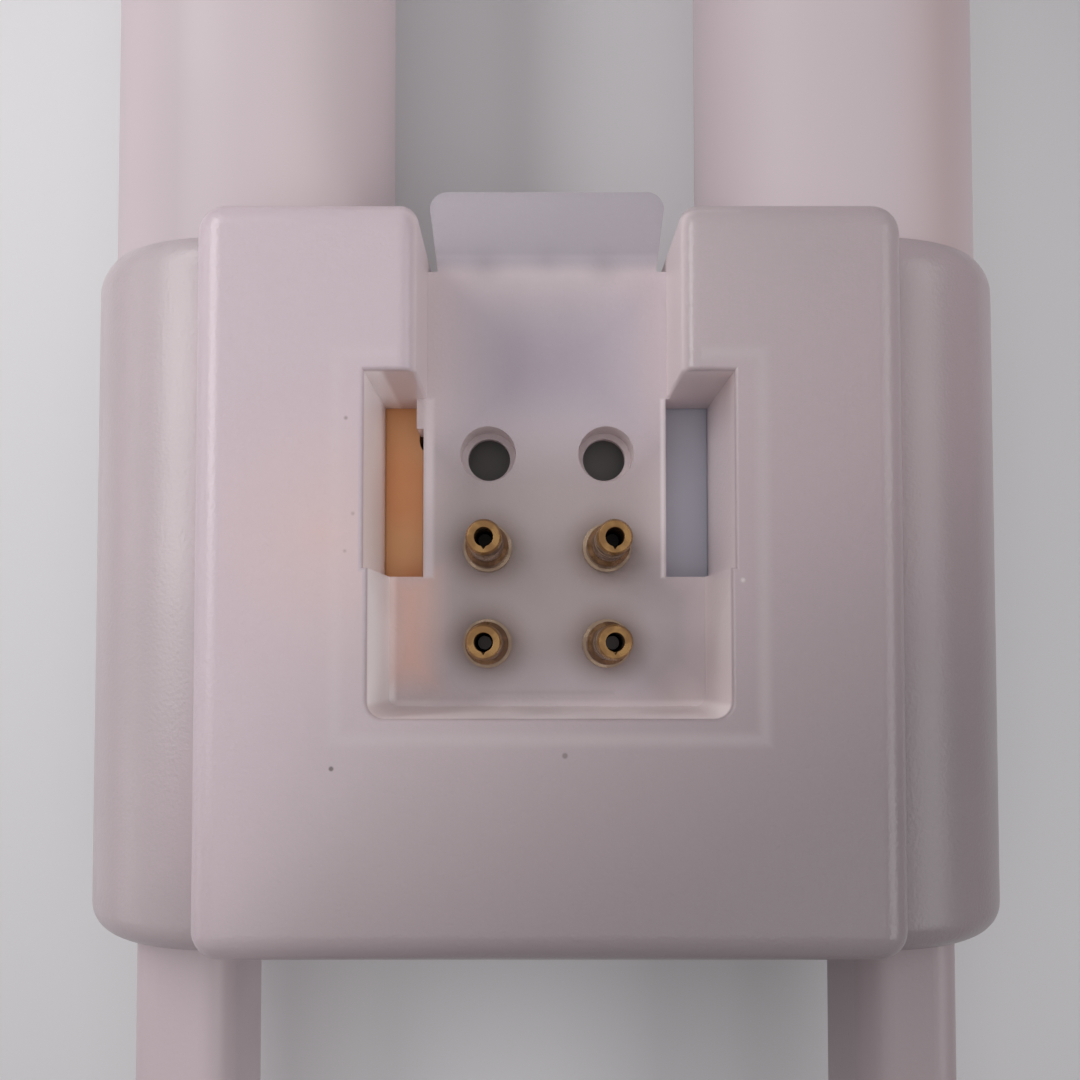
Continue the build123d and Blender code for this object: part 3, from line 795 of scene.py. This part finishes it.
def finished(
    bm: bmesh.types.BMesh,
    name: str,
    material: bpy.types.Material,
    nodes: tuple[str, ...],
) -> bpy.types.Object:
    """Makes a piece of the lamp from a mesh.

    Args:
        bm: The mesh, in place.
        name: The piece's name.
        material: Its material.
        nodes: The nodes that it stands for.

    Returns:
        The piece.
    """
    mesh = bpy.data.meshes.new(name)
    bm.to_mesh(mesh)
    bm.free()
    for face in mesh.polygons:
        face.use_smooth = True
    mesh.set_sharp_from_angle(angle=math.radians(SHARP_DEGREES))
    obj = bpy.data.objects.new(name, mesh)
    bpy.context.scene.collection.objects.link(obj)
    assign(obj, material)
    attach(obj, "root")
    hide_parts(*nodes)
    LOG.info("%s: %d faces", name, len(mesh.polygons))
    return obj


def round_edges(obj: bpy.types.Object, width: float) -> None:
    """Rounds a piece's sharp edges a little.

    Args:
        obj: The piece.
        width: The rounding's width in millimetres.
    """
    bevel = obj.modifiers.new("rounded edges", "BEVEL")
    bevel.width = width * MM
    bevel.segments = ROUNDED_SEGMENTS
    bevel.limit_method = "ANGLE"
    bevel.angle_limit = math.radians(ROUNDED_DEGREES)
    bevel.harden_normals = True
    bevel.use_clamp_overlap = True


# The lamp's sub-assemblies


@dataclass(frozen=True)
class Cap:
    """The cap: the rear moulding with the plug pocket, and the light-side cover."""

    edge_round: float = 0.12
    body: MilkyFinish = MilkyFinish(
        "milky cap moulding",
        screen(191, 177, 181),
        screen(187, 174, 178),
        roughness=0.3,
        spread=0.25,
        depth=4.0,
        skin_per_metre=4000.0,
        skin_strength=0.4,
    )
    # Painted shade darkens the cap towards the lower right and towards the bottom; painted light
    # lightens it towards the upper left, where the lamps are.
    painted_shade_far: Fade = Fade((0.8, -0.6), -18.0, 26.0, screen(169, 151, 156))
    painted_shade_low: Fade = Fade((0.5, -0.87), 1.0, 24.0, screen(144, 133, 137))
    painted_light_near: Fade = Fade((-0.9, 0.45), 2.0, 16.0, screen(204, 187, 195), 0.9)
    # Painted light on the pocket's walls, which lie in shade: lighter walls, lightest on the left
    # wall and along the lower wall.
    painted_wall_light: tuple[Patch, ...] = (
        Patch((0.0, 7.0), (11.6, 15.6), 0.2, screen(226, 212, 214), 0.8),
        Patch((-11.0, 5.5), (0.9, 15.0), 0.2, screen(255, 248, 250), 1.0),
        Patch((0.0, -7.9), (11.0, 0.5), 0.2, screen(238, 226, 228), 1.0),
    )
    # Painted light: a faint lighter outline on the face above the pocket's walls, where light comes
    # through the plastic.
    painted_glow_outline: tuple[Patch, ...] = (
        Patch((0.0, 2.2), (12.8, 11.6), 0.4, screen(214, 204, 207), 0.16, line=0.7),
    )
    # The pocket's floor: painted shade, painted light and highlights, and other tints.
    floor_shade_light_and_tints: tuple[Patch, ...] = (
        # Painted shade over the pocket's floor.
        Patch((0.0, 1.5), (7.6, 8.0), 2.5, screen(156, 141, 142), 0.6),
        # A darker, cooler tone on the tongue.
        Patch((0.0, 24.6), (8.5, 2.9), 0.6, screen(172, 166, 176), 0.7),
        # Painted shade with a cool cast down the channel.
        Patch((0.4, 15.2), (6.0, 4.5), 4.5, screen(152, 143, 172), 0.5),
        # Painted shade on the floor right of the pins.
        Patch((8.6, -2.6), (1.6, 3.4), 3.0, screen(150, 141, 149), 0.6),
        # Painted light: a warm glow from the orange part, lightening the floor where the left wall's
        # shadow falls.
        Patch((-9.1, -2.6), (1.4, 3.4), 1.7, screen(240, 194, 178), 0.8),
        # A lighter band towards the pocket's lower end.
        Patch((0.0, -6.0), (7.0, 1.4), 1.4, screen(200, 190, 198), 0.6),
        # Painted highlight along the left slot's edge.
        Patch((-7.9, 6.8), (0.3, 6.0), 0.2, screen(232, 220, 224), 0.9),
        # Painted highlight along the right slot's edge.
        Patch((7.72, 6.8), (0.12, 6.0), 0.12, screen(236, 226, 230), 0.9),
        # A thin darker line near the pocket's lower end.
        Patch((0.0, -6.85), (4.4, 0.1), 0.2, screen(176, 164, 164), 0.4),
    )
    shadow_spots: tuple[Spot, ...] = (
        Spot((-4.15, 22.0), 0.5, 1.4, screen(150, 140, 150), 0.5),
        Spot((0.0, 22.3), 0.4, 1.2, screen(150, 140, 150), 0.35),
        Spot((3.85, 22.0), 0.5, 1.4, screen(150, 140, 150), 0.5),
    )
    # Specks on the face, and a painted warm light left of the pocket.
    specks_and_glow: tuple[Spot, ...] = (
        Spot((-12.96, -11.12), 0.14, 0.06, screen(96, 84, 84), 0.8),
        Spot((0.91, -10.35), 0.16, 0.07, screen(112, 100, 100), 0.7),
        Spot((10.32, -3.3), 0.15, 0.1, screen(120, 108, 104), 0.7),
        Spot((11.55, 0.1), 0.12, 0.1, screen(228, 218, 216), 0.5),
        Spot((-11.76, 4.09), 0.1, 0.08, screen(124, 112, 114), 0.7),
        Spot((-10.64, 1.58), 0.12, 0.08, screen(124, 112, 114), 0.7),
        Spot((-12.23, 1.84), 0.09, 0.08, screen(124, 112, 114), 0.7),
        Spot((-12.21, 9.85), 0.1, 0.08, screen(124, 112, 114), 0.7),
        Spot((-13.83, 2.86), 0.8, 1.2, screen(214, 176, 172), 0.3),
        # Painted light: a wide warm glow on the face left of the pocket, from the orange part
        # beneath.
        Spot((-13.0, 3.0), 4.0, 8.0, screen(220, 190, 186), 0.6),
    )
    pin_stain: Spot = Spot((0.0, 0.0), 2.2, 1.2, screen(128, 106, 90), 0.6)

    def material(self, region: Region) -> bpy.types.Material:
        """Builds the moulding's material for a region, with painted light and shade, and what shows
        through it.

        Args:
            region: The region of the surface.

        Returns:
            The finished material.
        """
        paint = self.body.paint()
        paint.material.name = f"{self.body.name} {region.word}"
        self.painted_shade_far.lay(paint)
        self.painted_shade_low.lay(paint)
        if region is Region.REST:
            self.painted_light_near.lay(paint, paint.layer(BLOCK_FOOT_Z, ABOVE_FACE_Z))
            lay_marks(self.painted_wall_light, paint, paint.layer(UNDER_FLOOR_Z, BELOW_FACE_Z))
        elif region is Region.FACE:
            self.painted_light_near.lay(paint)
            lay_marks(self.painted_glow_outline + self.specks_and_glow, paint)
        else:
            stains = tuple(replace(self.pin_stain, centre=place) for place in PIN_PLACES)
            lay_marks(self.painted_wall_light + self.floor_shade_light_and_tints + self.shadow_spots + stains, paint)
        return paint.done()

    def shell(self, node: str, name: str, material: bpy.types.Material) -> bpy.types.Object:
        """Builds one shell of the cap.

        Args:
            node: The shell's node.
            name: The piece's name.
            material: The shell's first material.

        Returns:
            The piece.
        """
        shell = finished(merged_copy(node), name, material, (node,))
        round_edges(shell, self.edge_round)
        return shell

    def build(self) -> None:
        """Builds both shells of the cap, and gives the rear one its regions."""
        materials = [self.material(region) for region in Region]
        plain = materials[Region.REST.value]
        rear = self.shell("cap_rear", "cap_rear_moulding", plain)
        for material in materials[1:]:
            rear.data.materials.append(material)
        for face in rear.data.polygons:
            face.material_index = Region.of(face).value
        self.shell("cap_front", "cap_cover", plain)


@dataclass(frozen=True)
class Tube:
    """One loop: two opal half shells, with the light board between them."""

    side: Side
    finish: MilkyFinish = MilkyFinish(
        "opal tube", screen(206, 192, 197), screen(203, 189, 194), roughness=0.5, skin_strength=0.04
    )
    # Painted light and shade across the loops: a darker band along each loop's outer side and a
    # lighter band over the left loop's inner half, which flatten the tubes' shading.
    marks: tuple[Patch, ...] = (
        Patch((-25.2, 45.0), (1.6, 33.0), 2.6, screen(186, 172, 177), 0.9),
        Patch((-14.5, 45.0), (4.6, 33.0), 3.0, screen(222, 207, 210), 0.8),
        Patch((27.4, 45.0), (2.4, 33.0), 3.4, screen(196, 174, 176), 0.9),
    )
    board: PlainFinish = PlainFinish(
        "white solder mask", screen(232, 232, 228), screen(222, 222, 218), 0.4
    )
    emitter: PlainFinish = PlainFinish(
        "phosphor", screen(238, 214, 120), screen(228, 200, 104), 0.4
    )

    @classmethod
    def materials(cls) -> dict[str, bpy.types.Material]:
        """Builds the loops' materials.

        Returns:
            Each material by the last words of the nodes that wear it.
        """
        paint = cls.finish.paint()
        # Lays the painted light and shade over the loops.
        lay_marks(cls.marks, paint, paint.layer(0.0, FACE_Z))
        opal = paint.done()
        board, emitter = cls.board.material(), cls.emitter.material()
        return {"tube_rear": opal, "tube_front": opal, "light_board": board, "emitters": emitter}

    def build(self, materials: dict[str, bpy.types.Material]) -> None:
        """Dresses the loop.

        Args:
            materials: Each material by the last words of the nodes that wear it.
        """
        for words, material in materials.items():
            dress_node(f"{self.side.word}_{words}", material)


@dataclass(frozen=True)
class Leg:
    """One strut with its boot."""

    side: Side
    finish: MilkyFinish = MilkyFinish(
        "milky strut moulding", screen(206, 190, 194), screen(200, 184, 189), roughness=0.34
    )
    # Painted shade: the struts darken towards the right.
    painted_shade_far: Fade = Fade((1.0, 0.0), -20.0, 20.0, screen(164, 150, 154))

    @classmethod
    def material(cls) -> bpy.types.Material:
        """Builds the mouldings' material, with painted shade that darkens it towards the right.

        Returns:
            The finished material.
        """
        paint = cls.finish.paint()
        cls.painted_shade_far.lay(paint)
        return paint.done()

    def build(self, material: bpy.types.Material) -> None:
        """Dresses the strut and the boot.

        Args:
            material: The mouldings' material.
        """
        dress_node(f"{self.side.word}_strut", material)
        dress_node(f"{self.side.word}_boot", material)


@dataclass(frozen=True)
class Pin:
    """One hollow contact pin of aged brass, with the lead that shows in its bore."""

    number: int
    edge_round: float = 0.07
    dull_lead: PlainFinish = PlainFinish(
        "oxidised wire", screen(44, 38, 36), screen(30, 26, 25), 0.6
    )
    clean_lead: PlainFinish = PlainFinish(
        "tinned wire", screen(128, 122, 124), screen(104, 98, 100), 0.45, metallic=0.3
    )
    first_clean: int = 3
    brass: Colour = screen(152, 120, 80)
    stained: Colour = screen(92, 67, 49)
    stains_per_metre: float = 900.0
    stains_start: float = 0.38
    stains_full: float = 0.6
    bands: tuple[Band, ...] = (
        Band(FLOOR_Z - 1.0, FLOOR_Z + 1.0, 0.3, screen(184, 162, 142), 0.85),
        Band(FLOOR_Z + 1.0, FLOOR_Z + 4.5, 1.2, screen(128, 98, 76), 0.5),
        Band(FLOOR_Z + PIN_RISE - 0.3, FLOOR_Z + PIN_RISE + 1.0, 0.1, screen(168, 124, 70), 0.5),
    )
    bright_roughness: float = 0.25
    stained_roughness: float = 0.5
    metallic: float = 0.6
    skin_per_metre: float = 2500.0
    skin_strength: float = 0.3
    skin_depth: float = 0.05

    @classmethod
    def material(cls) -> bpy.types.Material:
        """Builds the aged brass.

        Returns:
            The finished material.
        """
        paint = Paint("aged brass", cls.brass)
        stain = paint.use(
            EFFECTS.clouds,
            "Mask",
            Per_Metre=cls.stains_per_metre,
            Low=cls.stains_start,
            High=cls.stains_full,
        )
        paint.lay(stain, cls.stained)
        lay_marks(cls.bands, paint)
        roughness = paint.ramp(stain, 0.0, 1.0, cls.bright_roughness, cls.stained_roughness)
        paint.set(Metallic=cls.metallic, Roughness=roughness)
        paint.bump(cls.skin_per_metre, cls.skin_strength, cls.skin_depth)
        return paint.done()

    def build(self, material: bpy.types.Material) -> None:
        """Builds the pin's shell and dresses its lead.

        Args:
            material: The pin's material.
        """
        node, name = f"contact_pin_{self.number}", f"pin_shell_{self.number}"
        shell = finished(merged_copy(node), name, material, (node,))
        round_edges(shell, self.edge_round)
        lead = self.clean_lead if self.number >= self.first_clean else self.dull_lead
        dress_node(f"pin_lead_{self.number}", lead.material())


@dataclass(frozen=True)
class Driver:
    """The driver board and the parts on it."""

    board: PlainFinish = PlainFinish(
        "green solder mask", screen(44, 92, 58), screen(34, 78, 48), 0.4
    )
    # The coating's own orange, painted lighter to make up for the shade in the slot.
    film: PlainFinish = PlainFinish(
        "orange dipped coating",
        screen(255, 190, 130),
        screen(255, 178, 118),
        0.35,
        clouds_per_metre=200.0,
    )
    box: PlainFinish = PlainFinish(
        "grey-blue case", screen(204, 206, 220), screen(196, 198, 212), 0.4
    )
    can: PlainFinish = PlainFinish("black sleeve", screen(30, 30, 33), screen(22, 22, 25), 0.3)
    # Painted light: the core is coloured a lighter grey than ferrite to make up for the shade in the
    # slot.
    ferrite: PlainFinish = PlainFinish(
        "grey ferrite", screen(136, 131, 130), screen(122, 118, 117), 0.6
    )
    winding: PlainFinish = PlainFinish(
        "enamelled wire", screen(176, 96, 52), screen(150, 78, 40), 0.3, metallic=0.6
    )
    package: PlainFinish = PlainFinish("black package", screen(34, 34, 36), screen(26, 26, 28), 0.5)
    lacquer: PlainFinish = PlainFinish(
        "grey lacquer", screen(128, 140, 130), screen(112, 124, 114), 0.35
    )
    covering: PlainFinish = PlainFinish(
        "white wire covering", screen(226, 222, 214), screen(214, 210, 202), 0.4
    )

    def build(self) -> None:
        """Dresses the board and its parts."""
        dressed = (
            (self.board, ("driver_board",)),
            (self.film, ("film_capacitor",)),
            (self.box, ("box_capacitor",)),
            (self.can, ("storage_capacitor_left", "storage_capacitor_right")),
            (self.ferrite, ("transformer_core",)),
            (self.winding, ("transformer_winding",)),
            (self.package, ("driver_chip", "bridge_rectifier")),
            (self.lacquer, ("surge_resistor", "fuse_resistor")),
            (self.covering, ("left_feed_leads", "right_feed_leads")),
        )
        for finish, nodes in dressed:
            material = finish.material()
            for node in nodes:
                dress_node(node, material)


@dataclass(frozen=True)
class SoftLight:
    """A soft rectangular light that faces the cap."""

    name: str
    at: tuple[float, float, float]
    size: tuple[float, float]
    power: float

    def build(self) -> None:
        """Adds the light, with its length along the lamp's Y."""
        data = bpy.data.lights.new(self.name, "AREA")
        data.shape = "RECTANGLE"
        data.size, data.size_y = self.size[0] * MM, self.size[1] * MM
        data.energy = self.power
        obj = bpy.data.objects.new(self.name, data)
        obj.location = Vector(self.at) * MM
        z = (obj.location - Vector((0.0, 0.0, AIM_Z * MM))).normalized()
        x = Vector((0, 1, 0)).cross(z).normalized()
        obj.rotation_euler = Matrix((x, z.cross(x), z)).transposed().to_euler()
        obj.visible_camera = False
        bpy.context.scene.collection.objects.link(obj)


@dataclass(frozen=True)
class Studio:
    """The floor, the soft lights and the camera."""

    camera_at: tuple[float, float, float] = (-1.28, -4.38, 97.8)
    camera_tilt: float = 2.2
    lens: float = 38.33
    sensor: float = 36.0
    shift_pixels: tuple[int, int] = (12, 71)
    nearest: float = 5.0
    farthest: float = 20000.0
    lights: tuple[SoftLight, ...] = (
        SoftLight("near", (-110.0, 60.0, 110.0), (60.0, 160.0), 0.13),
        SoftLight("side", (-260.0, 20.0, 40.0), (50.0, 260.0), 0.045),
        SoftLight("over", (0.0, 0.0, 300.0), (300.0, 300.0), 0.172),
        SoftLight("right", (220.0, 0.0, 170.0), (120.0, 300.0), 0.228),
    )
    ambient: float = 0.24
    ambient_tone: Colour = (1.0, 0.985, 0.985, 1.0)
    floor_half: float = 4000.0
    floor_drop: float = 0.2
    floor_tone: Colour = screen(226, 226, 228)
    floor_roughness: float = 0.9

    def camera(self) -> None:
        """Places the camera at the photograph's angle."""
        data = bpy.data.cameras.new("camera")
        data.lens = self.lens
        data.sensor_width = self.sensor
        data.shift_x, data.shift_y = (pixels / PHOTO_PIXELS for pixels in self.shift_pixels)
        data.clip_start = self.nearest * MM
        data.clip_end = self.farthest * MM
        obj = bpy.data.objects.new("camera", data)
        obj.location = Vector(self.camera_at) * MM
        obj.rotation_euler = (math.radians(self.camera_tilt), 0.0, 0.0)
        bpy.context.scene.collection.objects.link(obj)
        bpy.context.scene.camera = obj

    def floor(self) -> None:
        """Lays the pale floor."""
        bm = bmesh.new()
        bmesh.ops.create_grid(bm, x_segments=1, y_segments=1, size=self.floor_half * MM)
        mesh = bpy.data.meshes.new("floor")
        bm.to_mesh(mesh)
        bm.free()
        obj = bpy.data.objects.new("floor", mesh)
        obj.location = (0.0, 0.0, -self.floor_drop * MM)
        bpy.context.scene.collection.objects.link(obj)
        paint = Paint("pale floor", self.floor_tone)
        paint.set(Roughness=self.floor_roughness)
        assign(obj, paint.done())

    def build(self) -> None:
        """Builds the studio."""
        self.camera()
        self.floor()
        for light in self.lights:
            light.build()
        world = bpy.data.worlds.new("studio")
        world.use_nodes = True
        background = world.node_tree.nodes["Background"]
        background.inputs["Color"].default_value = self.ambient_tone
        background.inputs["Strength"].default_value = self.ambient
        bpy.context.scene.world = world
        bpy.context.scene.view_settings.view_transform = "Standard"


def main() -> None:
    """Builds the lamp and the studio."""
    logging.basicConfig(level=logging.INFO)
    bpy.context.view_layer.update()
    Cap().build()
    loop_materials = Tube.materials()
    strut = Leg.material()
    for side in Side:
        Tube(side).build(loop_materials)
        Leg(side).build(strut)
    brass = Pin.material()
    for number in range(1, len(PIN_PLACES) + 1):
        Pin(number).build(brass)
    Driver().build()
    Studio().build()


if __name__ == "__main__":
    main()
